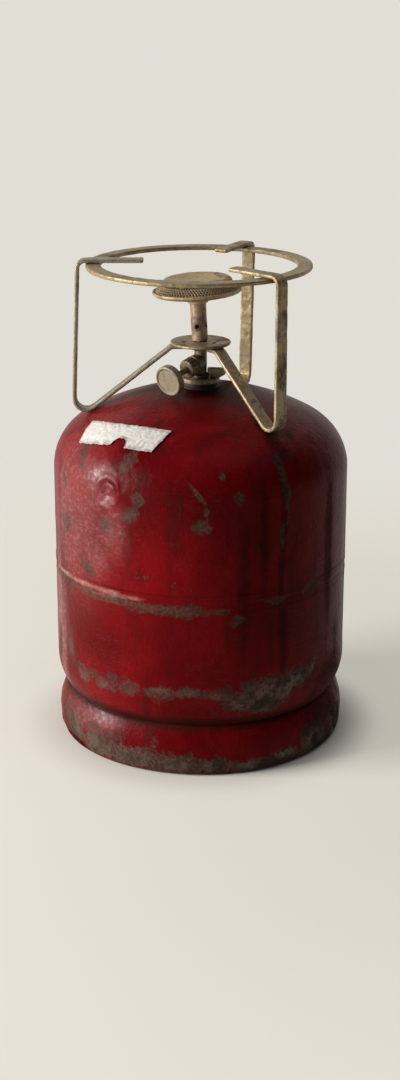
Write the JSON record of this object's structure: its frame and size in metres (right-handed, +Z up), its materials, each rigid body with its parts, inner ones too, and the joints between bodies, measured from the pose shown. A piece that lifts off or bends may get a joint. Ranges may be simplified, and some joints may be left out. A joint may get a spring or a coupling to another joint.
{
  "type": "rusty gas cylinder",
  "caption": "Small red camping gas cylinder, rusty and dented, with a needle-valve tap, a round burner and a bent strip frame that holds a flat pan ring.",
  "frame": {"origin": "on the bottle's axis, at the floor under the foot ring", "axes": "+Z up along the bottle's axis, -Y towards the front, where the knob and the tape show"},
  "size_m": [0.203, 0.203, 0.3321],
  "materials": {
    "body_paint": "worn satin paint with rust",
    "foot_paint": "worn satin paint, bare and rusty along the lower edge",
    "weld_steel": "rusty weld under worn paint",
    "frame_metal": "tarnished, dull",
    "burner_metal": "tarnished by heat, dull",
    "brass": "dark tarnished brass",
    "knob_metal": "pale, scuffed",
    "spring_steel": "bright",
    "seal_rubber": "matte",
    "tape": "matte, crinkled"
  },
  "bodies": {
    "root": {"foot_ring": "foot_paint", "lower_shell": "body_paint", "upper_shell": "body_paint", "girth_weld": "weld_steel", "neck_boss": "weld_steel", "valve_insert": "brass", "valve_spring": "spring_steel", "spring_retainer": "brass", "neck_seal": "seal_rubber", "wing_nut": "brass", "valve_body": "brass", "gland_nut": "brass", "gland_packing": "seal_rubber", "collar_plate": "frame_metal", "collar_nut": "brass", "jet": "brass", "mixing_tube": "burner_metal", "burner_bowl": "burner_metal", "burner_mesh": "burner_metal", "burner_cap": "burner_metal", "pan_ring": "frame_metal", "arm_left": "frame_metal", "arm_front": "frame_metal", "arm_back": "frame_metal", "tape_strip": "tape"},
    "knob_group": {"needle_spindle": "brass", "knob": "knob_metal"},
    "ball": {"valve_ball": "spring_steel"}
  },
  "joints": [
    {"name": "knob_turn", "type": "hinge", "parent": "root", "child": "knob_group", "pos_m": [0, 0, 0.26227], "axis": [-0.625, -0.7449, -0.2334], "range_deg": [0, 540]},
    {"name": "ball_push", "type": "slide", "parent": "root", "child": "ball", "axis": [0, 0, -1], "range_m": [0, 0.0008], "stiffness_N_per_m": 1500, "springref_m": -0.003, "deforming": ["valve_spring"]}
  ]
}
